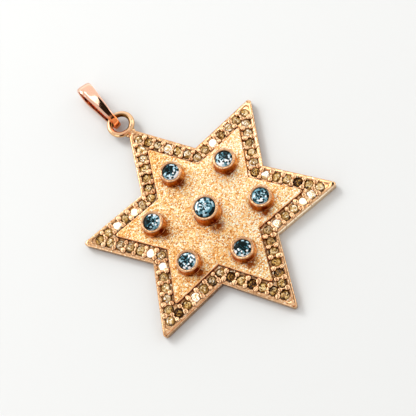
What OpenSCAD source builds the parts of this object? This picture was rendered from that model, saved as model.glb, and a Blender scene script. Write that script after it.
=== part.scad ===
// Six-pointed star pendant with an outline of small diamonds, a frosted panel,
// seven stones in tall tube settings, a soldered ring and a swinging bail.
// The star lies face up on z = 0, with its upper tip and the bail towards +Y.

/* [Star] */
// Distance from the middle of the star to a sharp tip, before it is blunted
tip_r = 18.5; // [17:0.1:20]
// Distance from the middle to an inner corner, as a share of tip_r
corner_share = 0.556; // [0.55:0.002:0.577]
// Radius that blunts each tip
tip_round = 0.5; // [0.4:0.05:0.7]
// Thickness of the plate, from its back to the top of the rim
plate_t = 1.25; // [1.2:0.05:1.6]
// Width of the polished rim outside the diamonds
rim_w = 0.48; // [0.4:0.01:0.52]
// Depth of the bright-cut channel below the rim
channel_d = 0.15; // [0.1:0.05:0.25]
// Distance from the edge of the plate to the frosted panel
panel_inset = 2.3; // [2.2:0.05:2.5]
// Height of the frosted panel above the rim
panel_rise = 0.35; // [0.2:0.05:0.5]
// Radius that blunts the tips of the channel and of the panel
inner_round = 0.3; // [0.25:0.05:0.4]

/* [Diamonds] */
// Distance from the edge of the plate to the middle of the row
row_inset = 1.28; // [1.26:0.01:1.32]
// Steps of the row between a tip and the next inner corner
row_steps = 6; // [5:1:6]
// Diameter of a diamond
diamond_d = 1.3; // [1.1:0.05:1.3]
// Diameter of a bead of metal that holds two diamonds
bead_d = 0.38; // [0.3:0.02:0.4]
// Height of a bead above the channel
bead_h = 0.22; // [0.15:0.01:0.25]
// Distance of the beads from the middle of the row
bead_off = 0.53; // [0.5:0.01:0.56]

/* [Settings] */
// Diameter of the middle stone
centre_d = 3; // [2.5:0.1:3.2]
// Diameter of each of the six stones around it
accent_d = 2.5; // [2:0.1:2.7]
// Distance of the six stones from the middle
accent_r = 7.7; // [7.4:0.1:8]
// Height of the middle setting above the rim
centre_h = 2.75; // [2.4:0.05:3]
// Height of the six settings above the rim
accent_h = 2.05; // [1.9:0.05:2.4]
// Thickness of the wall of a setting beside its stone
bezel_wall = 0.33; // [0.3:0.01:0.4]
// Width and height of the small step at the foot of a setting
foot_w = 0.1; // [0.06:0.01:0.16]
foot_h = 0.22; // [0.15:0.01:0.3]

/* [Ring and bail] */
// Diameter of the ring's wire
wire_d = 0.86; // [0.8:0.02:0.9]
// Radius of the ring, to the middle of its wire
ring_r = 1.66; // [1.62:0.01:1.7]
// Distance from the middle of the star to the middle of the ring
ring_y = 19.65; // [19.6:0.05:19.7]
// Sideways place of the ring, which is soldered a little off the tip
ring_x = -0.34; // [-0.36:0.02:-0.2]
// Height of the middle of the ring's wire
ring_z = 1.22; // [1.18:0.02:1.24]
// Thickness of the bail's strap
strap_t = 0.38; // [0.34:0.02:0.4]
// Sideways place of the bail, which lies against the left of the ring
bail_x = -0.8; // [-0.82:0.02:-0.4]
// Outer radius of the bail's wide end
bail_far_r = 1.8; // [1.7:0.05:1.9]
// Outer radius of the bail's narrow end, which holds the ring
bail_near_r = 1.27; // [1.25:0.01:1.3]
// Distance between the middles of the two ends
bail_reach = 5.65; // [5.4:0.05:5.8]
// Width of the bail at its wide end
bail_far_w = 2.05; // [1.9:0.05:2.1]
// Width of the bail at its narrow end
bail_near_w = 1; // [0.9:0.05:1.05]

/* [Hidden] */
$fn = 48;
TIPS = 6;
STEP = 360 / TIPS;
// How far one form is sunk into another that it is soldered to
sunk = 0.15;
// Clear space between a stone and its seat
fit = 0.04;
corner_r = tip_r * corner_share;
// Half of the angle at a tip, and the distance from the middle to every edge
tip_half = atan2(corner_r * sin(STEP / 2), tip_r - corner_r * cos(STEP / 2));
edge_r = tip_r * sin(tip_half);
panel_z = plate_t + panel_rise;
channel_z = plate_t - channel_d;
// The row of diamonds follows the same star, drawn smaller
row_k = (edge_r - row_inset) / edge_r;
row_tip = tip_r * row_k;
row_corner = corner_r * row_k;
row_len = norm(on_axis(row_tip, 0) - on_axis(row_corner, STEP / 2));
row_pitch = row_len / row_steps;
row_dir = (on_axis(row_corner, STEP / 2) - on_axis(row_tip, 0)) / row_len;
row_side = [-row_dir[1], row_dir[0]];
// Between a tip diamond and its two neighbours there is room for one small bead
tip_bead_in = row_pitch / (2 * cos(tip_half));
tip_bead_d = 2 * (tip_bead_in - diamond_d / 2 - 2 * fit);
// Proportions of a cut stone, as shares of its diameter or of its radius
table_k = 0.56;
crown_mid_k = 0.76;
low_mid_k = 0.3;
girdle_k = 0.035;
crown_slope = tan(34.5);
pavilion_slope = tan(40.8);
// The small diamonds are cut a little flatter, with eight sides
small_table_k = 0.58;
small_crown_k = 0.15;
small_pavilion_k = 0.4;
seat_z = channel_z - diamond_d * (small_pavilion_k + girdle_k) - 1.5 * fit;
// A setting's lip: its height above the stone's girdle, its reach over the stone,
// the radius of its outer edge and the shelf under the stone
lip_h = 0.15;
lip_over = 0.08;
lip_soft = 0.14;
lip_edge = 0.03;
shelf_w = 0.3;
// The short web of solder that fills the angle between the ring and the tip
web = [1.1, 1.15, 0.6];
web_back = 1.4;
web_z = 0.57;
// The bail's axis lies this far inside the middle of the wire, and the middle of
// its narrow end this far behind the axis
hinge_in = 0.26;
near_slack = 0.25;
// The bail turns about the far side of the ring
hinge_y = ring_y + ring_r - hinge_in;
bail_near_y = hinge_y - near_slack;
bail_far_y = bail_near_y + bail_reach;

// A point at radius r, a degrees from the upper tip
function on_axis(r, a) = r * [sin(a), cos(a)];

// The star's outline moved in by inset, with each tip blunted by a radius of soft
function star_outline(inset, soft) =
    let (k = (edge_r - inset) / edge_r, middle = tip_r * k - soft / sin(tip_half))
    [for (i = [0:TIPS - 1], j = [0:7])
        j < 7
            ? on_axis(middle, i * STEP) + soft * on_axis(1, i * STEP + (90 - tip_half) * (j / 3 - 1))
            : on_axis(corner_r * k, (i + 0.5) * STEP)];

// Puts a copy at each step of the row, on both sides of each tip, offset to the side
module along_row(first, last, offset = 0) {
    for (i = [0:TIPS - 1], flip = [0, 1], s = [first:last])
        rotate(-i * STEP) mirror([flip, 0])
            translate(on_axis(row_tip, 0) + row_dir * s * row_pitch + row_side * offset) children();
}

// Puts a copy at every diamond: at the tips, at the inner corners and between them
module at_diamonds() {
    for (i = [0:TIPS - 1]) {
        rotate(-i * STEP) translate([0, row_tip]) children();
        rotate(-(i + 0.5) * STEP) translate([0, row_corner]) children();
    }
    along_row(1, row_steps - 1) children();
}

// Small beads of metal that hold the diamonds, in the gaps of the row
module beads() {
    tall = bead_h + sunk;
    translate([0, 0, channel_z - sunk]) {
        along_row(0.5, row_steps - 0.5, bead_off) cylinder(d = bead_d, h = tall);
        along_row(1.5, row_steps - 0.5, -bead_off) cylinder(d = bead_d, h = tall);
        for (i = [0:TIPS - 1])
            rotate(-i * STEP) translate([0, row_tip - tip_bead_in]) cylinder(d = tip_bead_d, h = tall);
    }
}

// One tube setting: a stepped foot, an upright wall, a seat for the stone,
// and a lip that is rubbed over the edge of the stone
module bezel(stone_d, height) {
    r = stone_d / 2;
    out = r + fit + bezel_wall;
    lip_z = plate_t + height;
    girdle = lip_z - lip_h;
    below = girdle - girdle_k * stone_d - fit;
    shelf = r - shelf_w;
    lip = r - lip_over;
    foot_z = panel_z + foot_h;
    rotate_extrude() polygon(concat(
        [[0, panel_z - sunk], [out + foot_w, panel_z - sunk], [out + foot_w, foot_z], [out, foot_z + foot_w]],
        [for (a = [0:22.5:90]) [out - lip_soft + lip_soft * cos(a), lip_z - lip_soft + lip_soft * sin(a)]],
        [
            [lip + lip_edge, lip_z], [lip, lip_z - lip_edge],
            [lip, girdle + lip_over], [r + fit, girdle + lip_edge],
            [r + fit, below], [shelf, below - (r + fit - shelf) * pavilion_slope],
            [shelf, foot_z], [0, foot_z]
        ]
    ));
}

// The soldered ring and its web of solder
module ring() {
    translate([ring_x, ring_y, ring_z]) rotate_extrude() translate([ring_r, 0]) circle(d = wire_d);
    translate([-web[0] / 2, tip_r - web_back, web_z]) cube(web);
}

// Plate, rim, channel, beads, frosted panel, settings and ring, soldered into one
module star() {
    color("#d99a6c") {
        difference() {
            linear_extrude(plate_t) polygon(star_outline(0, tip_round));
            translate([0, 0, channel_z]) linear_extrude(plate_t) difference() {
                polygon(star_outline(rim_w, inner_round));
                polygon(star_outline(panel_inset, inner_round));
            }
            at_diamonds() translate([0, 0, seat_z]) cylinder(d = diamond_d + 2 * fit, h = plate_t);
        }
        translate([0, 0, plate_t - sunk]) linear_extrude(panel_rise + sunk)
            polygon(star_outline(panel_inset, inner_round));
        beads();
        bezel(centre_d, centre_h);
        for (i = [0:TIPS - 1]) translate(on_axis(accent_r, i * STEP)) bezel(accent_d, accent_h);
        ring();
    }
}

// A round brilliant: a table with eight sides, star, kite and girdle facets above,
// and eight long facets down to a point. The top of the girdle is at z = 0.
module brilliant(d) {
    r = d / 2;
    table = r * table_k;
    table_z = (r - table) * crown_slope;
    crown_mid = r * crown_mid_k;
    low_mid = r * low_mid_k;
    girdle = girdle_k * d;
    side = 22.5;
    points = concat(
        [for (i = [0:7]) [table * cos(45 * i), table * sin(45 * i), table_z]],
        [for (i = [0:7]) [crown_mid * cos(45 * i + side), crown_mid * sin(45 * i + side),
            (r - crown_mid * cos(side)) * crown_slope]],
        [for (i = [0:15]) [r * cos(side * i), r * sin(side * i), 0]],
        [for (i = [0:15]) [r * cos(side * i), r * sin(side * i), -girdle]],
        [for (i = [0:7]) [low_mid * cos(45 * i + side), low_mid * sin(45 * i + side),
            -girdle - (r - low_mid * cos(side)) * pavilion_slope]],
        [[0, 0, -girdle - r * pavilion_slope]]
    );
    // The first point of each ring of points
    mid = 8;
    top = 16;
    bottom = 32;
    low = 48;
    culet = 56;
    faces = concat(
        [[for (i = [0:7]) 7 - i]],
        [for (i = [0:7]) [i, (i + 1) % 8, mid + i]],
        [for (i = [0:7]) [i, mid + i, top + 2 * i, mid + (i + 7) % 8]],
        [for (i = [0:7]) [mid + i, top + 2 * i + 1, top + 2 * i]],
        [for (i = [0:7]) [mid + i, top + (2 * i + 2) % 16, top + 2 * i + 1]],
        [for (i = [0:15]) [top + i, top + (i + 1) % 16, bottom + (i + 1) % 16, bottom + i]],
        [for (i = [0:7]) [low + i, bottom + 2 * i, bottom + 2 * i + 1]],
        [for (i = [0:7]) [low + i, bottom + 2 * i + 1, bottom + (2 * i + 2) % 16]],
        [for (i = [0:7]) [culet, low + (i + 7) % 8, bottom + 2 * i, low + i]]
    );
    polyhedron(points, faces);
}

module centre_stone() {
    color("#5f9bb0") translate([0, 0, plate_t + centre_h - lip_h]) brilliant(centre_d);
}

module accent_stone(i) {
    color("#6fb0c4")
        translate(concat(on_axis(accent_r, (i - 1) * STEP), plate_t + accent_h - lip_h)) brilliant(accent_d);
}

// A small eight-sided diamond. The top of the girdle is at z = 0.
module small_diamond() {
    r = diamond_d / 2;
    rings = [[small_table_k, small_crown_k * diamond_d], [1, 0], [1, -girdle_k * diamond_d]];
    points = concat(
        [for (row = rings, i = [0:7]) [r * row[0] * cos(45 * i), r * row[0] * sin(45 * i), row[1]]],
        [[0, 0, -(girdle_k + small_pavilion_k) * diamond_d]]
    );
    faces = concat(
        [[for (i = [0:7]) 7 - i]],
        [for (row = [0, 8], i = [0:7]) [row + i, row + (i + 1) % 8, row + 8 + (i + 1) % 8, row + 8 + i]],
        [for (i = [0:7]) [24, 16 + i, 16 + (i + 1) % 8]]
    );
    polyhedron(points, faces);
}

// The field of diamonds around the star
module pave_diamonds() {
    color("#b9a68c") at_diamonds() translate([0, 0, channel_z]) small_diamond();
}

// One side view of the bail's loop, drawn in Y and Z and moved in by inset
module loop_profile(inset) {
    far = bail_far_r - inset;
    near = bail_near_r - inset;
    lean = asin((bail_far_r - bail_near_r) / norm([bail_reach, bail_far_r - bail_near_r]));
    rise = atan2(bail_far_r - bail_near_r, bail_reach);
    up = 90 + rise + lean;
    translate([bail_near_y, bail_near_r]) circle(near);
    translate([bail_far_y, bail_far_r]) circle(far);
    polygon([
        [bail_near_y, bail_near_r - near],
        [bail_far_y, bail_far_r - far],
        [bail_far_y, bail_far_r] + far * [cos(up), sin(up)],
        [bail_near_y, bail_near_r] + near * [cos(up), sin(up)]
    ]);
}

// A strap bent into a closed drop-shaped loop, wide at its top and narrow at the ring
module bail() {
    half_far = bail_far_w / 2;
    half_near = bail_near_w / 2;
    low = bail_near_y - 2 * bail_near_r;
    high = bail_far_y + 2 * bail_far_r;
    color("#e0a074") intersection() {
        translate([bail_x - bail_far_w, 0, 0]) rotate([90, 0, 90]) linear_extrude(2 * bail_far_w) difference() {
            loop_profile(0);
            loop_profile(strap_t);
        }
        translate([bail_x, 0, -sunk]) linear_extrude(2 * (bail_far_r + sunk)) polygon([
            [-half_near, low], [half_near, low], [half_near, hinge_y], [half_far, bail_far_y],
            [half_far, high], [-half_far, high], [-half_far, bail_far_y], [-half_near, hinge_y]
        ]);
    }
}

star();
centre_stone();
for (i = [1:TIPS])
    accent_stone(i);
pave_diamonds();
bail();
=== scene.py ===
import math
import random

import bmesh
import bpy
import numpy as np
from mathutils import Matrix, Quaternion, Vector


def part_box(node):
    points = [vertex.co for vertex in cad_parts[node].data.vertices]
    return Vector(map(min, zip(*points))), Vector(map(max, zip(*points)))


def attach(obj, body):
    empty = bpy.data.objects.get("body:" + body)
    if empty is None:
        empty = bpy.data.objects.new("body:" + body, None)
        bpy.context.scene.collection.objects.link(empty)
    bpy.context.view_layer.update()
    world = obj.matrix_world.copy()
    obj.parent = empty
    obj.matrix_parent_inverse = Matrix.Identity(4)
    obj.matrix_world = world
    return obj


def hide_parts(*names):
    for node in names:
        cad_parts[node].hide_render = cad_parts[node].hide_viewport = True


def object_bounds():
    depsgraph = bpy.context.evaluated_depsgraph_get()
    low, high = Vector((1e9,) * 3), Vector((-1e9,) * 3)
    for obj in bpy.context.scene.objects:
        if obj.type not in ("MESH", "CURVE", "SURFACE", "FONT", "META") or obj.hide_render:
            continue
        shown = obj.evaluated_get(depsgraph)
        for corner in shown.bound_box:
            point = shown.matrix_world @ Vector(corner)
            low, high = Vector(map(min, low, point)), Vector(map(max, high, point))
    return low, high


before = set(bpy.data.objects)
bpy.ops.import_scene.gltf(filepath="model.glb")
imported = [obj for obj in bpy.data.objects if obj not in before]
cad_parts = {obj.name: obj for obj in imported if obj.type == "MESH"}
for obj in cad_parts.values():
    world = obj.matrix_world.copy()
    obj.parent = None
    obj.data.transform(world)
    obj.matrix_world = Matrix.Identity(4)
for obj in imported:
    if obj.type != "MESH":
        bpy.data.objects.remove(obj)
cad_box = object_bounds()
mm = 0.001
random.seed(7)

# Camera
# It looks down on the face of the pendant from its lower side, and is turned so that the bail
# points to the upper left.
camera_place = Vector((-10.316, -44.893, 118.629)) * mm
camera_target = Vector((0.508, 0.66, 1.25)) * mm
camera_turn = math.radians(-29.1)


def add_object(name, data):
    """Adds an object that shows a mesh, a lamp or a camera."""
    added = bpy.data.objects.new(name, data)
    bpy.context.scene.collection.objects.link(added)
    return added


camera_data = bpy.data.cameras.new("camera")
camera_data.sensor_width = 36
camera_data.lens = 78.48
camera_data.clip_start = 0.01
camera_data.clip_end = 10
camera = add_object("camera", camera_data)
camera.rotation_mode = "QUATERNION"
camera.location = camera_place
camera.rotation_quaternion = (
    (camera_target - camera_place).to_track_quat("-Z", "Y") @ Quaternion((0, 0, 1), camera_turn)
)
bpy.context.scene.camera = camera

# Plate
# A star sawn from rose gold sheet, with eased edges and a polished face. A round cup is cut into
# it for each diamond, so near the next one that low ridges and a scalloped rim are left standing.
tips = 6
step = math.tau / tips
tip_r = 18.5 * mm
corner_r = 0.556 * tip_r
tip_half = math.atan2(corner_r * math.sin(step / 2), tip_r - corner_r * math.cos(step / 2))
edge_r = tip_r * math.sin(tip_half)
tip_round = 0.4 * mm
tip_points = 9
plate_t = 1.25 * mm
panel_z = plate_t + 0.35 * mm
row_inset = 1.28 * mm
row_steps = 6
girdle_z = plate_t - 0.15 * mm
crisp_angle = 24
nicks_per_m = 3400
# The plate's edge from its back to its face, as how far in it lies and its height, in millimetres.
plate_edge = (
    (0.1, 0.0), (0.03, 0.03), (0.0, 0.1), (0.0, 1.02), (0.02, 1.1), (0.06, 1.17), (0.12, 1.22),
    (0.19, 1.243), (0.26, 1.25), (0.44, 1.25), (0.48, 1.235), (0.52, 1.12),
)
# The radius and height of a cup from its floor up, past the face of the plate.
cup_r = 0.71 * mm
cup_top_r = 0.88 * mm
cup_profile = (
    (0, 0.5 * mm), (0.3 * mm, 0.56 * mm), (cup_r - 0.03 * mm, girdle_z - 0.05 * mm), (cup_r, girdle_z),
    (cup_top_r, plate_t + 0.02 * mm), (cup_top_r + 0.06 * mm, 2 * plate_t), (0, 2 * plate_t),
)
cup_sides = 40
cup_groups = 3


def on_axis(r, angle, z=0.0):
    """The point at radius r and height z, turned clockwise by angle from the upper tip."""
    return Vector((r * math.sin(angle), r * math.cos(angle), z))


def star_ring(inset, soft, z):
    """The star's outline moved in by inset at height z, with each tip blunted by a radius of soft."""
    share = (edge_r - inset) / edge_r
    middle = tip_r * share - soft / math.sin(tip_half)
    ring = []
    for tip in range(tips):
        for turn in np.linspace(-1, 1, tip_points):
            angle = tip * step + (math.pi / 2 - tip_half) * turn
            ring.append(on_axis(middle, tip * step, z) + on_axis(soft, angle))
        ring.append(on_axis(corner_r * share, (tip + 0.5) * step, z))
    return ring


def keep_crisp(mesh, sharp_angle):
    """Shades a mesh smooth, except at edges that turn by more than sharp_angle."""
    mesh.shade_smooth()
    mesh.set_sharp_from_angle(angle=math.radians(sharp_angle))


def add_piece(name, mesh, sharp_angle=crisp_angle):
    """Adds a smooth-shaded piece whose edges stay crisp where they turn by more than sharp_angle."""
    keep_crisp(mesh, sharp_angle)
    return add_object(name, mesh)


def apply_modifiers(piece):
    """Replaces a piece's mesh by what its modifiers make of it."""
    plain = piece.data
    shaped = piece.evaluated_get(bpy.context.evaluated_depsgraph_get())
    piece.data = bpy.data.meshes.new_from_object(shaped)
    piece.modifiers.clear()
    bpy.data.meshes.remove(plain)


def end_mesh(shell):
    """The mesh of a finished bmesh, which is freed."""
    mesh = bpy.data.meshes.new("shape")
    shell.to_mesh(mesh)
    shell.free()
    return mesh


def closed_mesh(points, faces):
    """A closed mesh of the given points and faces, with every face turned outward."""
    mesh = bpy.data.meshes.new("faces")
    mesh.from_pydata(points, [], faces)
    shell = bmesh.new()
    shell.from_mesh(mesh)
    bpy.data.meshes.remove(mesh)
    bmesh.ops.recalc_face_normals(shell, faces=shell.faces)
    return end_mesh(shell)


def loft(rings, endless=False):
    """A closed mesh through rings of equally many points.

    It has a flat cap at each end, or where it is endless, its last ring joins its first.
    """
    count = len(rings[0])
    last = (len(rings) - 1) * count
    faces = [] if endless else [list(range(count))[::-1], [last + i for i in range(count)]]
    for row in range(len(rings) if endless else len(rings) - 1):
        after = (row + 1) % len(rings)
        for i in range(count):
            j = (i + 1) % count
            faces.append([row * count + i, row * count + j, after * count + j, after * count + i])
    return closed_mesh([point for ring in rings for point in ring], faces)


def lathe(profile, sides, place=Vector()):
    """A closed mesh turned about Z at place, from (radius, height) points.

    The first and the last point are on the axis.
    """
    shell = bmesh.new()
    rings = []
    for r, z in profile:
        turns = [math.tau * i / sides for i in range(sides)] if r else [0]
        rings.append([shell.verts.new(place + on_axis(r, turn, z)) for turn in turns])
    for low, high in zip(rings, rings[1:]):
        for i in range(sides):
            j = i + 1
            corners = [low[i % len(low)], low[j % len(low)], high[j % len(high)], high[i % len(high)]]
            shell.faces.new(list(dict.fromkeys(corners)))
    bmesh.ops.recalc_face_normals(shell, faces=shell.faces)
    return end_mesh(shell)


def joined(meshes):
    """One mesh that holds all the given ones, which are taken out."""
    shell = bmesh.new()
    for mesh in meshes:
        shell.from_mesh(mesh)
        bpy.data.meshes.remove(mesh)
    return end_mesh(shell)


def star_slab(name, edge, soft):
    """A star-shaped piece from the (inset, height) points of its edge in millimetres."""
    return add_piece(name, loft([star_ring(inset * mm, soft, z * mm) for inset, z in edge]))


def row_places():
    """The middle of every diamond, once round the star, from the upper tip clockwise."""
    share = (edge_r - row_inset) / edge_r
    places = []
    for tip in range(tips):
        start = on_axis(tip_r * share, tip * step)
        corner = on_axis(corner_r * share, (tip + 0.5) * step)
        end = on_axis(tip_r * share, (tip + 1) * step)
        places += [start.lerp(corner, i / row_steps) for i in range(row_steps)]
        places += [corner.lerp(end, i / row_steps) for i in range(row_steps)]
    return places


def fill(node, inputs):
    """Gives a node's inputs their values, or links them to other nodes' outputs."""
    for name, value in inputs.items():
        if isinstance(value, bpy.types.NodeSocket):
            node.id_data.links.new(value, node.inputs[name])
        else:
            node.inputs[name].default_value = value


def add_node(tree, kind, inputs=None, **settings):
    """Adds a node, sets its options and fills its inputs."""
    node = tree.nodes.new(kind)
    for name, value in settings.items():
        setattr(node, name, value)
    fill(node, inputs or {})
    return node


def calc(tree, operation, *values):
    """The result of a sum with numbers."""
    return add_node(tree, "ShaderNodeMath", dict(enumerate(values)), operation=operation).outputs[0]


def calc_vector(tree, operation, *values):
    """The result of a sum with vectors, which is a number for a length, distance or dot product."""
    node = add_node(tree, "ShaderNodeVectorMath", dict(enumerate(values)), operation=operation)
    return node.outputs["Value" if operation in ("LENGTH", "DISTANCE", "DOT_PRODUCT") else "Vector"]


def fade(tree, value, start, end, low=0, high=1, curve="LINEAR"):
    """A number that goes from low to high while value goes from start to end."""
    return add_node(tree, "ShaderNodeMapRange", {
        "Value": value, "From Min": start, "From Max": end, "To Min": low, "To Max": high,
    }, interpolation_type=curve).outputs["Result"]


def near(tree, spot, place, reach, full, high=1):
    """A mask that begins where a spot is within reach of a place, and is at its highest within full."""
    return fade(tree, calc_vector(tree, "DISTANCE", spot, place), reach, full, high=high)


def facing(tree, normal, way, start, end, high=1, curve="LINEAR"):
    """A mask for the faces that look a given way."""
    return fade(tree, calc_vector(tree, "DOT_PRODUCT", normal, way), start, end, high=high, curve=curve)


def noise(tree, spot, scale, detail=2, roughness=0.5):
    """A cloudy noise with scale clouds to the metre."""
    return add_node(tree, "ShaderNodeTexNoise", {
        "Vector": spot, "Scale": scale, "Detail": detail, "Roughness": roughness,
    }).outputs["Fac"]


def stretched(tree, spot, scale, turn=0):
    """A spot whose axes are scaled, then turned about Z, so that a noise on it runs in strokes."""
    return add_node(tree, "ShaderNodeMapping", {
        "Vector": spot, "Rotation": (0, 0, turn), "Scale": scale,
    }).outputs["Vector"]


def part_of(tree, vector, axis):
    """One of the three numbers of a vector."""
    return add_node(tree, "ShaderNodeSeparateXYZ", {"Vector": vector}).outputs[axis]


def mix_colour(tree, factor, first, second, blend="MIX"):
    """The output of a node that blends two colours. Each may be a colour or another node's output."""
    first, second = (
        value if isinstance(value, bpy.types.NodeSocket) else (*value, 1) for value in (first, second)
    )
    return add_node(
        tree, "ShaderNodeMix", {0: factor, 6: first, 7: second}, data_type="RGBA", blend_type=blend
    ).outputs[2]


def start_group(name, inputs, outputs):
    """A shader node group with named number inputs and named outputs, and its two end nodes."""
    tree = bpy.data.node_groups.new(name, "ShaderNodeTree")
    for label, value in inputs.items():
        socket = tree.interface.new_socket(label, in_out="INPUT", socket_type="NodeSocketFloat")
        socket.default_value = value
    for label in outputs:
        tree.interface.new_socket(label, in_out="OUTPUT", socket_type="NodeSocketFloat")
    return tree, tree.nodes.new("NodeGroupInput"), tree.nodes.new("NodeGroupOutput")


def start_material(name):
    """A new material, its node tree and its shader."""
    material = bpy.data.materials.new(name)
    material.use_nodes = True
    return material, material.node_tree, material.node_tree.nodes["Principled BSDF"]


def paint_over(material, mask, colour):
    """Blends a colour into the one that a material has so far, where a mask says."""
    shader = material.node_tree.nodes["Principled BSDF"]
    so_far = shader.inputs["Base Color"].links[0].from_socket
    fill(shader, {"Base Color": mix_colour(material.node_tree, mask, so_far, colour)})


# Hand polish: soft unevenness from the buff, with fine hairlines in two directions.
tones_per_m = 350
hairline_stretch = 0.07
hairline_turns = (0.5, -0.9)
hairline_depth = 0.06
polish, polish_in, polish_out = start_group(
    "hand_polish",
    {"Waves per metre": 900, "Hairlines per metre": 9000, "Smoothest": 0.06, "Roughest": 0.2},
    ["Tone", "Roughness", "Height"],
)
spot = add_node(polish, "ShaderNodeTexCoord").outputs["Object"]
waves = noise(polish, spot, polish_in.outputs["Waves per metre"])
fineness = polish_in.outputs["Hairlines per metre"]
hair = calc(polish, "MINIMUM", *(
    noise(polish, stretched(polish, spot, (1, hairline_stretch, 1), turn), fineness, 1)
    for turn in hairline_turns
))
smoothest = polish_in.outputs["Smoothest"]
roughest = polish_in.outputs["Roughest"]
fill(polish_out, {
    "Tone": noise(polish, spot, tones_per_m, 3),
    "Roughness": fade(polish, hair, 0.25, 0.6, roughest, smoothest),
    "Height": calc(polish, "ADD", waves, calc(polish, "MULTIPLY", hair, hairline_depth)),
})

# Recess: how deep a spot lies between its neighbours, which is where painted shade goes.
recess_samples = 12
recess, recess_in, recess_out = start_group(
    "recess", {"Reach": 0.5 * mm, "Open": 0.9, "Closed": 0.35}, ["Mask"]
)
hidden = add_node(recess, "ShaderNodeAmbientOcclusion", {
    "Distance": recess_in.outputs["Reach"],
}, samples=recess_samples)
fill(recess_out, {
    "Mask": fade(recess, hidden.outputs["AO"], recess_in.outputs["Open"], recess_in.outputs["Closed"]),
})


relief_depth = 0.1 * mm
# How level a face is where it begins to look like a wall, and where it looks like one altogether.
wall_from = 0.93
wall_whole = 0.5


def polished_gold(
    name, light, warm, deep, bump, shade_strength=1, wall=None, edge_tint=(1, 1, 1), polish_values=None,
    recess_values=None,
):
    """Polished rose gold: two tones of the alloy, hand polish, and painted shade in the recesses.

    Where a wall colour is given, faces that stand upright take it, as painted shade on the walls.
    """
    material, tree, shader = start_material(name)
    surface = add_node(tree, "ShaderNodeGroup", polish_values, node_tree=polish)
    hollow = add_node(tree, "ShaderNodeGroup", recess_values, node_tree=recess)
    alloy = mix_colour(tree, surface.outputs["Tone"], light, warm)
    # Painted shade on upright faces, which take the darker wall colour.
    if wall:
        level = part_of(tree, add_node(tree, "ShaderNodeTexCoord").outputs["Normal"], "Z")
        alloy = mix_colour(tree, fade(tree, level, wall_from, wall_whole, curve="SMOOTHSTEP"), alloy, wall)
    # Painted shade: the deeper a spot lies, the more it takes the dark recess colour.
    shaded = calc(tree, "MULTIPLY", hollow.outputs["Mask"], shade_strength)
    relief = add_node(tree, "ShaderNodeBump", {
        "Height": surface.outputs["Height"], "Distance": relief_depth, "Strength": bump,
    })
    fill(shader, {
        "Metallic": 1, "Specular Tint": (*edge_tint, 1),
        "Base Color": mix_colour(tree, shaded, alloy, deep),
        "Roughness": surface.outputs["Roughness"], "Normal": relief.outputs["Normal"],
    })
    return material


def place_piece(piece, body, node, slot, *materials):
    """Gives a piece its materials and its body, and hides the solid that it stands for. Its slot is not
    used.
    """
    for material in materials:
        piece.data.materials.append(material)
    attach(piece, body)
    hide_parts(node)


cup_metal = polished_gold(
    "cup_rose_gold", light=(1, 0.68, 0.36), warm=(0.8, 0.36, 0.1), deep=(0.16, 0.05, 0.007), bump=0.8,
    polish_values={"Waves per metre": 2500}, recess_values={"Reach": 0.6 * mm},
)
diamond_places = row_places()
cup_sets = []
for group in range(cup_groups):
    cups = joined([lathe(cup_profile, cup_sides, place) for place in diamond_places[group::cup_groups]])
    cups.materials.append(cup_metal)
    cup_sets.append(add_object(f"cups_{group}", cups))


def cut_cups(piece):
    """Cuts the diamonds' cups out of a piece. Each set holds only cups that don't meet."""
    for cups in cup_sets:
        cut = piece.modifiers.new("cups", "BOOLEAN")
        cut.object = cups
        cut.operation = "DIFFERENCE"
        cut.solver = "MANIFOLD"
        cut.material_mode = "TRANSFER"
    apply_modifiers(piece)
    keep_crisp(piece.data, crisp_angle)


plate = star_slab("star_plate", plate_edge, tip_round)
plate_metal = polished_gold(
    "polished_rose_gold", light=(0.86, 0.54, 0.3), warm=(0.78, 0.38, 0.16), deep=(0.11, 0.035, 0.005),
    bump=0.5, wall=(0.6, 0.38, 0.22), edge_tint=(1, 0.85, 0.7),
    polish_values={"Waves per metre": 800, "Smoothest": 0.03, "Roughest": 0.12},
    recess_values={"Open": 0.95, "Closed": 0.55},
)
tree = plate_metal.node_tree
coords = add_node(tree, "ShaderNodeTexCoord").outputs

# Painted shade on the upright edge, beside the notch left of the lower tip.
by_notch = near(tree, coords["Object"], on_axis(corner_r, 3.5 * step), 8 * mm, 2 * mm, 0.9)
upright = fade(tree, part_of(tree, coords["Normal"], "Z"), 0.7, 0.2)
paint_over(plate_metal, calc(tree, "MULTIPLY", by_notch, upright), (0.16, 0.05, 0.01))

# A painted reflection of the lit floor: a bright stretch on the edge under the lower right arm.
by_arm = near(tree, coords["Object"], on_axis(0.75 * tip_r, 2.25 * step, plate_t), 6.5 * mm, 4 * mm)
downward = facing(tree, coords["Normal"], (0, -1, 0), 0.2, 0.6)
paint_over(plate_metal, calc(tree, "MULTIPLY", by_arm, downward), (1, 0.84, 0.62))

# Small nicks, which look dark, and worn spots between them, which look bright.
nicks = noise(tree, coords["Object"], nicks_per_m)
paint_over(plate_metal, fade(tree, nicks, 0.57, 0.7, high=0.8), (0.3, 0.1, 0.02))
paint_over(plate_metal, fade(tree, nicks, 0.43, 0.3, high=0.8), (1, 0.86, 0.64))
place_piece(plate, "pendant", "star", "rose_gold", plate_metal)
cut_cups(plate)

# Panel
# The raised middle of the star. Its top is frosted with a burr into a fine sparkling grain, and
# its edge is cut bright where the diamonds' cups reach it.
panel_round = 0.3 * mm
# The panel's edge from its foot to its top, as how far in it lies and its height, in millimetres.
panel_edge = ((2.3, 1.05), (2.3, 1.48), (2.32, 1.54), (2.36, 1.585), (2.42, 1.6))
# How many dents, grains and so on the frosting has to the metre.
dents_per_m = 6800
grains_per_m = 5000
patches_per_m = 420
stain_breaks_per_m = 2600
stroke_stretch = 0.22
stroke_depth = 2
frost_depth = 0.07 * mm
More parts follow.
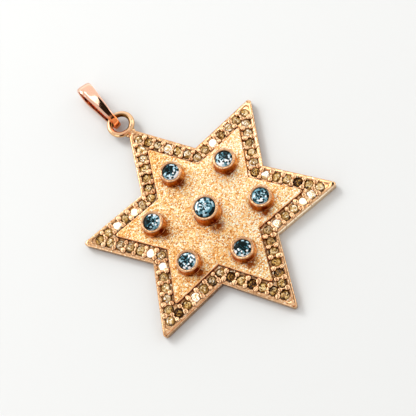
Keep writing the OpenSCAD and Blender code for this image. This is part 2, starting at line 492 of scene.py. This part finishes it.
# The shades of the dents, from burnt to bright.
grain_shades = (
    (0.0, 0.6, 0.21, 0.035), (0.3, 0.95, 0.49, 0.145), (0.6, 1.0, 0.76, 0.36), (0.86, 1.0, 1.0, 0.82),
)
# Painted shadows at the feet of the tubes, on the side away from the light: the x and y of each one's
# middle and its radius, in millimetres.
foot_shadows = (
    (-0.3, -2.4, 1.3), (0.1, 6.0, 0.8), (6.0, 2.4, 0.7), (5.9, -5.5, 1.0), (-0.4, -9.5, 1.1),
    (-6.4, -5.7, 1.1), (-6.3, 2.0, 1.15),
)


def ramp(tree, factor, stops):
    """The colour output of a ramp with (place, red, green, blue) stops."""
    node = add_node(tree, "ShaderNodeValToRGB", {"Fac": factor})
    while len(node.color_ramp.elements) < len(stops):
        node.color_ramp.elements.new(0.5)
    for element, (place, *colour) in zip(node.color_ramp.elements, stops):
        element.position = place
        element.color = (*colour, 1)
    return node.outputs["Color"]


panel = star_slab("frosted_panel", panel_edge, panel_round)
frosted, tree, shader = start_material("frosted_rose_gold")
spot = add_node(tree, "ShaderNodeTexCoord").outputs["Object"]
across = part_of(tree, spot, "X")
along = part_of(tree, spot, "Y")

# The relief: round dents from the burr, a finer noise, and strokes on the lower arms.
dents = add_node(tree, "ShaderNodeTexVoronoi", {"Vector": spot, "Scale": dents_per_m})
grain = noise(tree, spot, grains_per_m, 1, 0.6)
strokes = noise(tree, stretched(tree, spot, (stroke_stretch, 1, 1)), grains_per_m, 1)
strokes = calc(tree, "SUBTRACT", strokes, 0.5)
strokes = calc(tree, "MULTIPLY", strokes, fade(tree, along, -2 * mm, -5 * mm))
relief = calc(tree, "ADD", dents.outputs["Distance"], grain)
relief = calc(tree, "MULTIPLY_ADD", strokes, stroke_depth, relief)
bump = add_node(tree, "ShaderNodeBump", {"Height": relief, "Distance": frost_depth, "Strength": 1})

# Each dent has a shade of its own by chance. Painted shading makes the panel paler to the right and redder
# at the upper tip.
patches = noise(tree, spot, patches_per_m, 3)
wear_and_shading = calc(tree, "ADD", strokes, fade(tree, patches, 0.3, 0.7, -0.06, 0.06))
wear_and_shading = calc(tree, "ADD", wear_and_shading, fade(tree, across, -12 * mm, 12 * mm, -0.18, 0.1))
wear_and_shading = calc(tree, "SUBTRACT", wear_and_shading, fade(tree, along, 7 * mm, 13 * mm, high=0.22))
chance = add_node(tree, "ShaderNodeSeparateColor", {"Color": dents.outputs["Color"]}).outputs["Red"]
fill(shader, {
    "Metallic": 1, "Specular Tint": (1, 0.6, 0.3, 1),
    "Base Color": ramp(tree, calc(tree, "ADD", chance, wear_and_shading), grain_shades),
    "Roughness": fade(tree, patches, 0.3, 0.7, 0.4, 0.3), "Normal": bump.outputs["Normal"],
})

# Painted shade close to the tubes, from the recess mask, and painted shadows at the places listed above,
# both broken up by a noise into speckles.
close = add_node(tree, "ShaderNodeGroup", {
    "Reach": 1.0 * mm, "Open": 0.85, "Closed": 0.5,
}, node_tree=recess)
foot_shade = close.outputs["Mask"]
for x, y, reach in foot_shadows:
    mark = near(tree, spot, (x * mm, y * mm, panel_z), reach * mm, 0.4 * reach * mm)
    foot_shade = calc(tree, "MAXIMUM", foot_shade, mark)
broken = fade(tree, noise(tree, spot, stain_breaks_per_m), 0.3, 0.48)
paint_over(frosted, calc(tree, "MULTIPLY", foot_shade, broken), (0.28, 0.06, 0.007))

bright_edge = polished_gold(
    "bright_cut_edge", light=(0.95, 0.58, 0.33), warm=(0.92, 0.46, 0.2), deep=(0.42, 0.1, 0.025),
    bump=0.12, shade_strength=0.8,
)
place_piece(panel, "pendant", "star", "rose_gold", bright_edge, frosted)
frosted_from = panel_z - 0.005 * mm
panel.data.polygons.foreach_set(
    "material_index", [int(face.center.z > frosted_from) for face in panel.data.polygons]
)
cut_cups(panel)
for cups in cup_sets:
    bpy.data.objects.remove(cups)

# Settings
# Seven tubes of rose gold soldered to the panel, each with a small step at its foot and a wide
# lip that is rubbed over the edge of its stone.
stone_nodes = ["centre_stone"] + [f"accent_stone_{i}" for i in range(1, tips + 1)]
tube_sides = 64
tube_wall = 0.37 * mm
foot_w = 0.1 * mm
foot_h = 0.22 * mm
foot_sunk = 0.1 * mm
waist = 0.03 * mm
lip_h = 0.15 * mm
lip_over = 0.04 * mm
lip_round = 0.14 * mm
lip_points = 9
seat_gap = 0.03 * mm
seat_in = 0.3 * mm
streaks_per_m = 2200
streak_stretch = 0.35
# How far a stone's table lies above its girdle, as a share of its radius.
crown_rise = 0.3024


def setting_profile(stone_r, girdle):
    """The (radius, height) points of one tube setting for a stone, from its foot to its seat.

    The small offsets ease its corners.
    """
    out = stone_r + tube_wall
    lip_z = girdle + lip_h
    lip = stone_r - lip_over
    foot_z = panel_z + foot_h
    profile = [
        (0, panel_z - foot_sunk), (out + foot_w, panel_z - foot_sunk),
        (out + foot_w, foot_z - 0.04 * mm), (out + foot_w - 0.03 * mm, foot_z),
        (out + 0.03 * mm, foot_z + 0.03 * mm), (out, foot_z + 0.09 * mm),
        (out - waist, (foot_z + lip_z) / 2), (out, lip_z - lip_round - 0.05 * mm),
    ]
    for turn in np.linspace(0, math.pi / 2, lip_points):
        inward = lip_round * (1 - math.cos(turn))
        down = lip_round * (1 - math.sin(turn))
        profile.append((out - inward, lip_z - down))
    return profile + [
        (lip + 0.09 * mm, lip_z - 0.01 * mm), (lip + 0.03 * mm, lip_z - 0.03 * mm),
        (lip, lip_z - 0.07 * mm),
        (stone_r + seat_gap, girdle + 0.02 * mm), (stone_r + seat_gap, girdle - 0.16 * mm),
        (stone_r - seat_in, girdle - 0.45 * mm), (stone_r - seat_in, foot_z), (0, foot_z),
    ]


settings = []
for node in stone_nodes:
    low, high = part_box(node)
    stone_r = (high.x - low.x) / 2
    middle = Vector(((low.x + high.x) / 2, (low.y + high.y) / 2, 0))
    settings.append(lathe(setting_profile(stone_r, high.z - crown_rise * stone_r), tube_sides, middle))
settings = add_piece("tube_settings", joined(settings), 40)
rubbed_metal = polished_gold(
    "rubbed_rose_gold", light=(0.84, 0.54, 0.32), warm=(0.42, 0.18, 0.065), deep=(0.08, 0.016, 0.002),
    bump=1, wall=(0.5, 0.14, 0.02), edge_tint=(1, 0.7, 0.5),
    polish_values={"Waves per metre": 1300, "Smoothest": 0.04, "Roughest": 0.14},
    recess_values={"Reach": 2.0 * mm, "Closed": 0.45},
)
tree = rubbed_metal.node_tree
coords = add_node(tree, "ShaderNodeTexCoord").outputs

# Painted light on the tubes' right sides, and painted shade in streaks low on the sides towards the
# camera, away from the light.
lit_side = facing(tree, coords["Normal"], (0.85, -0.53, 0), 0.65, 0.97, 0.9, "SMOOTHSTEP")
paint_over(rubbed_metal, lit_side, (1, 0.65, 0.3))
near_side = facing(tree, coords["Normal"], (-0.1, -0.99, 0), 0.5, 0.95, curve="SMOOTHSTEP")
height = part_of(tree, coords["Object"], "Z")
low_down = fade(tree, height, panel_z + 1.6 * mm, panel_z + 0.3 * mm, 0.35)
streaks = noise(tree, stretched(tree, coords["Object"], (1, 1, streak_stretch)), streaks_per_m)
streaks = fade(tree, streaks, 0.32, 0.55)
shaded_low = calc(tree, "MULTIPLY", calc(tree, "MULTIPLY", near_side, low_down), streaks)
paint_over(rubbed_metal, shaded_low, (0.17, 0.035, 0.004))
place_piece(settings, "pendant", "star", "rose_gold", rubbed_metal)

# Ring
# A closed ring of round rose gold wire, soldered upright edge to edge with the upper tip. The
# solder fills the angle between the wire and the tip, and one smooth skin covers both.
ring_middle = Vector((-0.34, 19.65, 1.22)) * mm
ring_r = 1.66 * mm
ring_steps = 96
wire_r = 0.43 * mm
wire_sides = 32
solder_place = Vector((-0.12, 17.72, 0.9)) * mm
solder_size = Vector((0.85, 0.62, 0.42)) * mm
skin_voxel = 0.045 * mm
skin_rounds = 8
wire_section = [
    (ring_r + wire_r * math.cos(math.tau * i / wire_sides), wire_r * math.sin(math.tau * i / wire_sides))
    for i in range(wire_sides)
]
wire = loft([
    [ring_middle + on_axis(r, math.tau * i / ring_steps, z) for r, z in wire_section]
    for i in range(ring_steps)
], endless=True)
solder = bmesh.new()
bmesh.ops.create_icosphere(
    solder, subdivisions=4, radius=1,
    matrix=Matrix.Translation(solder_place) @ Matrix.Diagonal((*solder_size, 1)),
)
ring = add_piece("soldered_ring", joined([wire, end_mesh(solder)]), 180)
remesh = ring.modifiers.new("one_form", "REMESH")
remesh.mode = "VOXEL"
remesh.voxel_size = skin_voxel
remesh.use_smooth_shade = True
ring.modifiers.new("eased", "SMOOTH").iterations = skin_rounds
apply_modifiers(ring)
ring_metal = polished_gold(
    "ring_rose_gold", light=(0.92, 0.62, 0.4), warm=(0.86, 0.46, 0.24), deep=(0.2, 0.08, 0.01),
    bump=0.3, wall=(0.7, 0.42, 0.2), edge_tint=(1, 0.85, 0.7),
    polish_values={"Smoothest": 0.03, "Roughest": 0.1}, recess_values={"Reach": 1.3 * mm, "Closed": 0.5},
)
tree = ring_metal.node_tree
spot = add_node(tree, "ShaderNodeTexCoord").outputs["Object"]

# Painted shade inside the ring, more on its right.
flat_spot = calc_vector(tree, "MULTIPLY", spot, (1, 1, 0))
inside = near(tree, flat_spot, (*ring_middle.xy, 0), ring_r, ring_r - 0.2 * mm)
right = fade(tree, part_of(tree, spot, "X"), ring_middle.x - 0.5 * mm, ring_middle.x + 0.4 * mm, 0.3)
paint_over(ring_metal, calc(tree, "MULTIPLY", inside, right), (0.17, 0.09, 0.015))
place_piece(ring, "pendant", "star", "rose_gold", ring_metal)

# Diamonds
# Seventy-two small brilliants of a champagne to brown colour, set by hand, so that each is
# turned and tilted a little in its cup and no two catch the light alike.
diamond_r = 0.65 * mm
cut_table = 0.58
cut_star = 0.78
cut_low = 0.3
cut_crown = math.tan(math.radians(32))
cut_pavilion = math.tan(math.radians(40.8))
cut_girdle = 0.06
tilt_most = math.radians(5)
shift_most = 0.03 * mm
size_range = (0.97, 1.0)
sunk_range = (-0.03, 0.02)
# Shades go from 0, dark, to 1, pale. Most stones draw one from this range, and some have their own,
# listed by their place in the row.
shade_range = (0.41, 0.63)
flashing = (8, 26, 53, 55, 62, 64)
own_shades = {
    **dict.fromkeys(flashing, 1.02), **dict.fromkeys((19, 25, 29, 3, 45), 0.85),
    **dict.fromkeys((22, 34, 39, 41, 47), 0.12),
}
flash_lean = Vector((0.04, 0.1, 1))
# The stones round the lower tip are darker and browner: painted shade where the light falls off.
shaded_stones = range(28, 46)
shaded_by = 0.1
# How much the fire and the flash count, and how much darker the whole then gets.
fire_share = 0.85
flash_share = 0.6
darker_by = 0.4
diamond_shades = (
    (0.12, 0.03, 0.01, 0.002), (0.28, 0.22, 0.09, 0.015), (0.5, 0.56, 0.34, 0.1),
    (0.72, 0.86, 0.66, 0.36), (0.95, 1.0, 1.0, 1.0),
)


def brilliant(r):
    """A round brilliant of radius r with 57 facets, and the top of its girdle at height 0.

    Its points are 8 of the table, 8 of the star facets, 16 on the girdle's top and 16 on its bottom,
    8 under the girdle, and the culet.
    """
    turns = [math.tau * i / 8 for i in range(8)]
    half = math.pi / 8
    star_z = (1 - cut_star * math.cos(half)) * r * cut_crown
    low_z = -cut_girdle * r - (1 - cut_low * math.cos(half)) * r * cut_pavilion
    points = [on_axis(cut_table * r, turn, (1 - cut_table) * r * cut_crown) for turn in turns]
    points += [on_axis(cut_star * r, turn + half, star_z) for turn in turns]
    points += [on_axis(r, math.tau * i / 16) for i in range(16)]
    points += [on_axis(r, math.tau * i / 16, -cut_girdle * r) for i in range(16)]
    points += [on_axis(cut_low * r, turn + half, low_z) for turn in turns]
    points.append(Vector((0, 0, -cut_girdle * r - r * cut_pavilion)))
    faces = [list(range(8))]
    for i in range(8):
        j = (i + 1) % 8
        faces += [
            [i, j, 8 + i], [j, 8 + i, 16 + 2 * j, 8 + j], [8 + i, 16 + 2 * i, 16 + 2 * i + 1],
            [8 + i, 16 + 2 * i + 1, 16 + 2 * j], [48 + i, 32 + 2 * i, 32 + 2 * i + 1],
            [48 + i, 32 + 2 * i + 1, 32 + 2 * j], [56, 48 + i, 32 + 2 * j, 48 + j],
        ]
    for i in range(16):
        j = (i + 1) % 16
        faces.append([16 + i, 16 + j, 32 + j, 32 + i])
    return closed_mesh(points, faces)


stone_shades = []
stone_spots = []
stones = []
for index, place in enumerate(diamond_places):
    stone = brilliant(diamond_r * random.uniform(*size_range))
    stone_spots += [(*vertex.co.xy / diamond_r, index) for vertex in stone.vertices]
    lean = Vector((random.uniform(-1, 1) * tilt_most, random.uniform(-1, 1) * tilt_most, 1))
    if index in flashing:
        lean = flash_lean
    turn = Vector((0, 0, 1)).rotation_difference(lean).to_matrix().to_4x4()
    turn = turn @ Matrix.Rotation(random.uniform(0, math.tau), 4, "Z")
    sunk = girdle_z + random.uniform(*sunk_range) * mm
    shift = Vector((random.uniform(-1, 1), random.uniform(-1, 1), 0)) * shift_most
    stone.transform(Matrix.Translation(place + shift + Vector((0, 0, sunk))) @ turn)
    drawn = random.uniform(*shade_range) - (shaded_by if index in shaded_stones else 0)
    stone_shades += [own_shades.get(index, drawn)] * len(stone.vertices)
    stones.append(stone)
diamonds = add_object("champagne_diamonds", joined(stones))
diamonds.data.attributes.new("shade", "FLOAT", "POINT").data.foreach_set("value", stone_shades)
spots = diamonds.data.attributes.new("spot", "FLOAT_VECTOR", "POINT")
spots.data.foreach_set("vector", np.ravel(stone_spots))

# Fire in a cut stone: what its back facets send up, as patches of light and dark in wedges and rings.
# Across and Along are a spot's place in the stone, from -1 to 1. Each ring is turned a little from
# the one inside it.
ring_stagger = 0.043
fire, fire_in, fire_out = start_group(
    "cut_stone_fire",
    {"Across": 0, "Along": 0, "Wedges": 18, "Rings": 5.6, "Seed": 0, "Rim shade": 0.3},
    ["Tone"],
)
across = fire_in.outputs["Across"]
along = fire_in.outputs["Along"]
spot = add_node(fire, "ShaderNodeCombineXYZ", {"X": across, "Y": along}).outputs[0]
off_centre = calc_vector(fire, "LENGTH", spot)
ring_number = calc(fire, "FLOOR", calc(fire, "MULTIPLY", off_centre, fire_in.outputs["Rings"]))
around = calc(fire, "DIVIDE", calc(fire, "ARCTAN2", along, across), math.tau)
around = calc(fire, "ADD", around, calc(fire, "MULTIPLY", ring_number, ring_stagger))
wedge_number = calc(fire, "FLOOR", calc(fire, "MULTIPLY", around, fire_in.outputs["Wedges"]))
patch = add_node(fire, "ShaderNodeCombineXYZ", {
    "X": ring_number, "Y": wedge_number, "Z": fire_in.outputs["Seed"],
})
chance = add_node(fire, "ShaderNodeTexWhiteNoise", {"Vector": patch.outputs[0]}, noise_dimensions="3D")
rim = fade(fire, off_centre, 0.74, 0.92, high=fire_in.outputs["Rim shade"])
fill(fire_out, {"Tone": calc(fire, "SUBTRACT", chance.outputs["Value"], rim)})

champagne, tree, shader = start_material("champagne_diamond")
shade = add_node(tree, "ShaderNodeAttribute", attribute_name="shade").outputs["Fac"]
spot = add_node(tree, "ShaderNodeAttribute", attribute_name="spot").outputs["Vector"]
number = part_of(tree, spot, "Z")
facet = add_node(tree, "ShaderNodeGroup", {
    "Across": part_of(tree, spot, "X"), "Along": part_of(tree, spot, "Y"), "Wedges": 8, "Rings": 4.2,
    "Seed": number, "Rim shade": 0.16,
}, node_tree=fire)
tone = calc(tree, "MULTIPLY_ADD", facet.outputs["Tone"], fire_share, shade)
tone = calc(tree, "SUBTRACT", tone, darker_by)

# The flashing stones have a bright table: a painted flash of light.
off_centre = calc_vector(tree, "LENGTH", calc_vector(tree, "MULTIPLY", spot, (1, 1, 0)))
on_table = fade(tree, off_centre, 0.72, 0.6)
flash = calc(tree, "MULTIPLY", on_table, calc(tree, "GREATER_THAN", shade, 1))
tone = calc(tree, "MULTIPLY_ADD", flash, flash_share, tone)
own = add_node(tree, "ShaderNodeTexWhiteNoise", {"W": number}, noise_dimensions="1D").outputs["Value"]
tint = mix_colour(tree, own, (1, 0.86, 0.5), (0.95, 0.93, 0.86))
# The palest tones also glow a little, as painted sparkle.
fill(shader, {
    "Transmission Weight": 0.2, "IOR": 1.35, "Specular IOR Level": 0.25, "Roughness": 0.06,
    "Base Color": mix_colour(tree, 1, ramp(tree, tone, diamond_shades), tint, "MULTIPLY"),
    "Emission Strength": 0.5, "Emission Color": ramp(tree, tone, ((0.9, 0, 0, 0), (1.0, 1, 1, 1))),
})
place_piece(diamonds, "pendant", "pave_diamonds", "champagne_diamond", champagne)

# Beads
# Grains of the plate's own metal, raised with a graver between the cups and rounded with a
# hollow punch, which leaves a small dimple. Each is pushed over the edges of two diamonds.
bead_r = 0.36 * mm
bead_off = 0.57 * mm
bead_foot = 1.08 * mm
bead_sides = 14
bead_wobble = 0.05 * mm
bead_unevenness = (0.92, 1.08)
bead_shares = (0.82, 1.12)
bead_reaches = (0.95, 1.35)
# The radius and height of a bead's side, for a bead with a radius of 0.25.
bead_unit_r = 0.25
bead_side = [(0, 0), (0.25, 0.0), (0.26, 0.1), (0.25, 0.2), (0.22, 0.27), (0.17, 0.31), (0.13, 0.325)]
bead_dents = (0, 0, 0.3, 1, 1)
tip_bead_share = 0.85
# Between neighbouring diamonds lies a low bridge of metal, which is a stretched ball.
bridge_z = 1.2 * mm
bridge_half_l = 0.55 * mm
bridge_half_w = (0.12 * mm, 0.2 * mm)
bridge_half_h = 0.17 * mm
bridge_places = (0.46, 0.54)
bridge_turn = 0.15
bridge_sides = 12
bridge_rings = 8
# The radius and height of the ball's side. The lathe turns it, because Blender's own maker of
# such balls puts the faces in another order each time.
ball_side = [
    (math.sin(math.pi * i / bridge_rings), -math.cos(math.pi * i / bridge_rings))
    for i in range(1, bridge_rings)
]


def bead(place, out, share, reach, dent):
    """One bead at place, share times the usual size and reach times as long towards out.

    A dent of 1 is a full dimple, and one of 0 is none.
    """
    size = bead_r / bead_unit_r * share
    crown = [(0.1, 0.33 - 0.03 * dent), (0.06, 0.335 - 0.09 * dent), (0, 0.34 - 0.11 * dent)]
    mesh = lathe([(r * size, bead_foot + z * size) for r, z in bead_side + crown], bead_sides)
    for vertex in mesh.vertices:
        if vertex.co.xy.length > 0:
            vertex.co.xy *= random.uniform(*bead_unevenness)
    turn = Matrix.Rotation(math.atan2(-out.x, out.y), 4, "Z")
    mesh.transform(Matrix.Translation(place) @ turn @ Matrix.Diagonal((1, reach, 1, 1)))
    return mesh


beads = []
for index, place in enumerate(diamond_places):
    after = diamond_places[(index + 1) % len(diamond_places)]
    way = (after - place).normalized()
    out = Vector((-way.y, way.x, 0))
    at_tip = index % (2 * row_steps) in (0, 2 * row_steps - 1)
    for side in (1,) if at_tip else (1, -1):
        wobble = Vector((random.uniform(-1, 1), random.uniform(-1, 1), 0)) * bead_wobble
        spot = place.lerp(after, 0.5) + side * bead_off * out + wobble
        share = random.uniform(*bead_shares)
        reach = random.uniform(*bead_reaches)
        beads.append(bead(spot, out, share, reach, random.choice(bead_dents)))
    middle = place.lerp(after, random.uniform(*bridge_places)) + Vector((0, 0, bridge_z))
    angle = math.atan2(out.y, out.x) + random.uniform(-bridge_turn, bridge_turn)
    size = Matrix.Diagonal((bridge_half_l, random.uniform(*bridge_half_w), bridge_half_h, 1))
    bridge = lathe([(0, -1), *ball_side, (0, 1)], bridge_sides)
    bridge.transform(Matrix.Translation(middle) @ Matrix.Rotation(angle, 4, "Z") @ size)
    beads.append(bridge)
    if index % (2 * row_steps) == 0:
        inward = -place.normalized() * (place - after).length / (2 * math.cos(tip_half))
        beads.append(bead(place + inward, out, tip_bead_share, 1, 1))
beads = add_piece("beads", joined(beads), 50)
place_piece(beads, "pendant", "star", "rose_gold", polished_gold(
    "bead_rose_gold", light=(1, 0.74, 0.46), warm=(0.92, 0.5, 0.24), deep=(0.2, 0.035, 0.005), bump=0.3,
    polish_values={"Waves per metre": 3000, "Smoothest": 0.06, "Roughest": 0.16},
    recess_values={"Reach": 0.36 * mm},
))

# Blue stones
# Seven round brilliants of blue topaz, from icy to deep teal. The shapes come with the frame, and
# each stone has its own pattern of light and dark, with the light side where it shows.
blue_shades = (
    (0.28, 0.001, 0.006, 0.006), (0.42, 0.005, 0.045, 0.055), (0.56, 0.05, 0.17, 0.22),
    (0.73, 0.25, 0.46, 0.54), (0.9, 0.68, 0.86, 0.94), (1.0, 1.0, 1.0, 1.0),
)
base_lift = -0.13
# The flash begins and is whole this far out on the light side, as shares of the lean's length. The
# dark core lies a little to the other side, with its reach and its full part as shares of the radius.
flash_from = 0.45
flash_whole = 0.8
core_shift = -0.2
core_reach = 0.62
core_whole = 0.35
# For each stone: how strong its light and dark are, how much lighter it is, how dark its rim is,
# which side is the light one, how dark its core is, and how bright the light side flashes.
stone_looks = {
    "centre_stone": (0.9, 0.23, 0.3, (0, 0.22), 0, 0),
    "accent_stone_1": (1.3, -0.1, 0.05, (0.05, -0.25), 0.3, 0.45),
    "accent_stone_2": (1.2, 0.02, 0.1, (-0.2, -0.22), 0.25, 0.35),
    "accent_stone_3": (1.1, 0.0, 0.15, (-0.1, -0.12), 0.1, 0.35),
    "accent_stone_4": (1.3, -0.08, 0.05, (-0.14, -0.16), 0.4, 0.35),
    "accent_stone_5": (1.25, 0.1, 0.1, (0.08, -0.14), 0.3, 0.3),
    "accent_stone_6": (1.2, 0.1, 0.1, (0.16, -0.16), 0.32, 0.3),
}
for seed, (node, (contrast, lift, rim, lean, core, flash)) in enumerate(stone_looks.items()):
    topaz, tree, shader = start_material(f"blue_topaz_{seed}")
    low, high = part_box(node)
    r = (high.x - low.x) / 2
    lean = Vector((*lean, 0))
    spot = add_node(tree, "ShaderNodeTexCoord").outputs["Object"]
    spot = calc_vector(tree, "SUBTRACT", spot, (low + high) / 2)
    spot = calc_vector(tree, "MULTIPLY", spot, (1 / r, 1 / r, 1 / r))
    facet = add_node(tree, "ShaderNodeGroup", {
        "Across": part_of(tree, spot, "X"), "Along": part_of(tree, spot, "Y"), "Seed": seed + 0.5,
        "Rim shade": rim,
    }, node_tree=fire)
    side = calc_vector(tree, "DOT_PRODUCT", spot, lean)
    tone = calc(tree, "ADD", facet.outputs["Tone"], side)
    lit = fade(tree, side, flash_from * lean.length, flash_whole * lean.length, high=flash)
    tone = calc(tree, "ADD", tone, lit)
    flat_spot = calc_vector(tree, "MULTIPLY", spot, (1, 1, 0))
    dark_core = near(tree, flat_spot, core_shift * lean.normalized(), core_reach, core_whole, core)
    tone = calc(tree, "SUBTRACT", tone, dark_core)
    tone = calc(tree, "MULTIPLY_ADD", tone, contrast, lift + base_lift)
    fill(shader, {
        "Transmission Weight": 0.1, "IOR": 1.3, "Specular IOR Level": 0.25, "Roughness": 0.04,
        "Base Color": ramp(tree, tone, blue_shades),
    })
    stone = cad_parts[node]
    stone.data.materials.clear()
    stone.data.materials.append(topaz)

# Bail
# A strap of rose gold that tapers to the ring, bent into a closed drop-shaped loop and soldered.
# Its outside is domed and its edges are eased. It hangs on the ring and takes the chain.
bail_low, bail_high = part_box("bail")
bail_x = (bail_low.x + bail_high.x) / 2
far_r = (bail_high.z - bail_low.z) / 2
near_r = 1.27 * mm
far_y = bail_high.y - far_r
near_y = bail_low.y + near_r
strap_t = 0.38 * mm
far_half = (bail_high.x - bail_low.x) / 2
near_half = 0.54 * mm
narrow_y = near_y + 0.25 * mm
run = math.hypot(far_y - near_y, far_r - near_r)
lean = math.asin((far_r - near_r) / run)
top_turn = math.pi / 2 + lean + math.atan2(far_r - near_r, far_y - near_y)
far_stations = 28
near_stations = 22
run_stations = 15
bulge = 0.2 * mm
# The strap's outside across its width, from -1 to 1, as shares of half the width: it bows down
# towards both edges, and falls away to the right of the ridge. Its edges are eased, and its inside
# is flat.
outside_points = 17
dome = 0.13
dome_power = 6
ridge = -0.5
fall = 0.1
fall_power = 1.1
roll = 0.065
rolled = Matrix.Rotation(roll, 3, "Y")


def straight_run(start, end, rise):
    """The stations between two ends of the strap, bowed outward by rise in the middle."""
    stations = []
    for i in range(1, run_stations + 1):
        share = i / (run_stations + 1)
        bow = 4 * rise * share * (1 - share)
        y = start[0] + (end[0] - start[0]) * share + bow * math.cos(start[2])
        z = start[1] + (end[1] - start[1]) * share + bow * math.sin(start[2])
        tilt = math.atan2(4 * rise * (1 - 2 * share), run)
        stations.append((y, z, start[2] - tilt))
    return stations


def end_bend(middle_y, r, first_turn, last_turn, count):
    """The stations round one end of the loop."""
    return [
        (middle_y + r * math.cos(turn), r + r * math.sin(turn), turn)
        for turn in np.linspace(first_turn, last_turn, count)
    ]


def strap_stations():
    """The (y, z, outward angle) of each station round the loop, on its outer side."""
    far_end = end_bend(far_y, far_r, -math.pi / 2, top_turn, far_stations)
    near_end = end_bend(near_y, near_r, top_turn, 1.5 * math.pi, near_stations)
    front = straight_run(far_end[-1], near_end[0], bulge)
    back = straight_run(near_end[-1], far_end[0], 0)
    return far_end + front + near_end + back


strap_rings = []
for y, z, turn in strap_stations():
    widen = min(max((y - narrow_y) / (far_y - narrow_y), 0), 1)
    half = near_half + (far_half - near_half) * widen
    crown = dome * half
    section = [
        (x, -crown * abs(x) ** dome_power - fall * half * max(x - ridge, 0) ** fall_power)
        for x in np.linspace(-1, 1, outside_points)
    ]
    right_edge = section[-1][1]
    section += [
        (1, right_edge - 0.05 * mm), (0.97, right_edge - 0.1 * mm), (0.9, 0.01 * mm - strap_t),
        (0.5, -strap_t), (-0.5, -strap_t), (-0.9, 0.01 * mm - strap_t), (-0.97, -crown - 0.1 * mm),
        (-1, -crown - 0.05 * mm),
    ]
    ring = []
    for x, depth in section:
        flat = Vector((x * half, y + depth * math.cos(turn), z + depth * math.sin(turn) - far_r))
        ring.append(rolled @ flat + Vector((bail_x, 0, far_r + far_half * math.sin(roll))))
    strap_rings.append(ring)
bail = add_piece("bail_loop", loft(strap_rings, endless=True), 50)
bail_metal = polished_gold(
    "bail_rose_gold", light=(0.9, 0.58, 0.45), warm=(0.9, 0.5, 0.32), deep=(0.75, 0.28, 0.08), bump=0.06,
    polish_values={"Waves per metre": 500, "Smoothest": 0.03, "Roughest": 0.09},
    recess_values={"Reach": 1.0 * mm, "Open": 0.95, "Closed": 0.5},
)

# The near end is redder: a painted reflection of the ring and the star.
tree = bail_metal.node_tree
along = part_of(tree, add_node(tree, "ShaderNodeTexCoord").outputs["Object"], "Y")
ring_reflection = fade(tree, along, near_y + 0.9 * mm, near_y - 0.1 * mm, curve="SMOOTHSTEP")
paint_over(bail_metal, ring_reflection, (0.9, 0.26, 0.08))
place_piece(bail, "bail", "bail", "rose_gold", bail_metal)

# Floor and light
# A plain pale floor under the back of the star, and soft light from the upper left. The cards
# and the patches of the sky are what the polished metal mirrors.
floor_half = 3
floor_gap = 0.01 * mm
light_distance = 0.5
corners = [(x * floor_half, y * floor_half, 0) for x, y in ((-1, -1), (1, -1), (1, 1), (-1, 1))]
floor_mesh = bpy.data.meshes.new("floor")
floor_mesh.from_pydata(corners, [], [(0, 1, 2, 3)])
floor = add_object("floor", floor_mesh)
floor.location.z = cad_box[0].z - floor_gap
pale_floor, tree, shader = start_material("pale_floor")
fill(shader, {"Base Color": (0.67, 0.686, 0.681, 1), "Roughness": 0.8})
floor_mesh.materials.append(pale_floor)


def softbox(name, direction, size, power, mirrored=True):
    """A soft area light of size metres that shines on the pendant from a direction.

    One that isn't mirrored lights and casts shadows, but doesn't show in polished metal.
    """
    data = bpy.data.lights.new(name, "AREA")
    data.shape = "RECTANGLE"
    data.size, data.size_y = size
    data.energy = power
    light = add_object(name, data)
    light.location = Vector(direction).normalized() * light_distance
    light.rotation_mode = "QUATERNION"
    light.rotation_quaternion = (-Vector(direction)).to_track_quat("-Z", "Y")
    light.visible_glossy = mirrored


softbox("key_light", (-0.05, 0.78, 0.62), (0.16, 0.16), 1.2, mirrored=False)
softbox("upper_card", (-0.36, 0.72, 0.6), (0.3, 0.3), 0.68)
softbox("window_card", (0.26, 0.36, 0.9), (0.15, 0.09), 0.085)
softbox("left_card", (-0.87, -0.2, 0.4), (0.2, 0.3), 0.22)
softbox("right_card", (0.86, -0.08, 0.45), (0.2, 0.3), 0.26)
world = bpy.data.worlds.new("studio")
world.use_nodes = True
tree = world.node_tree
sky = add_node(tree, "ShaderNodeTexCoord").outputs["Generated"]
upper = fade(tree, part_of(tree, sky, "Y"), -0.9, 0.5)
glow = mix_colour(tree, upper, (0.6, 0.6, 0.6), (0.95, 0.95, 0.95))
low_down = fade(tree, part_of(tree, sky, "Z"), 0.4, 0.15)
glow = mix_colour(tree, low_down, glow, (1.4, 1.4, 1.4))

# Soft-edged oval patches of the sky, each with its middle, its half sizes and its colour.
sky_patches = (
    ((-0.12, -0.42), (0.28, 0.28), (0.7, 0.36, 0.22)),
    ((-0.6, -0.65), (0.28, 0.28), (0.08, 0.04, 0.02)),
    ((0.47, 0.1), (0.26, 0.19), (0.02, 0.015, 0.01)),
)
for middle, half, colour in sky_patches:
    offset = calc_vector(tree, "SUBTRACT", sky, (*middle, 0))
    share = calc_vector(tree, "MULTIPLY", offset, (1 / half[0], 1 / half[1], 0))
    inside = fade(tree, calc_vector(tree, "LENGTH", share), 1.15, 0.85, curve="SMOOTHSTEP")
    glow = mix_colour(tree, inside, glow, colour)
fill(tree.nodes["Background"], {
    "Color": glow, "Strength": fade(tree, part_of(tree, sky, "X"), -0.1, 0.35, 0.98, 1.2),
})
bpy.context.scene.world = world
bpy.context.scene.view_settings.view_transform = "Standard"
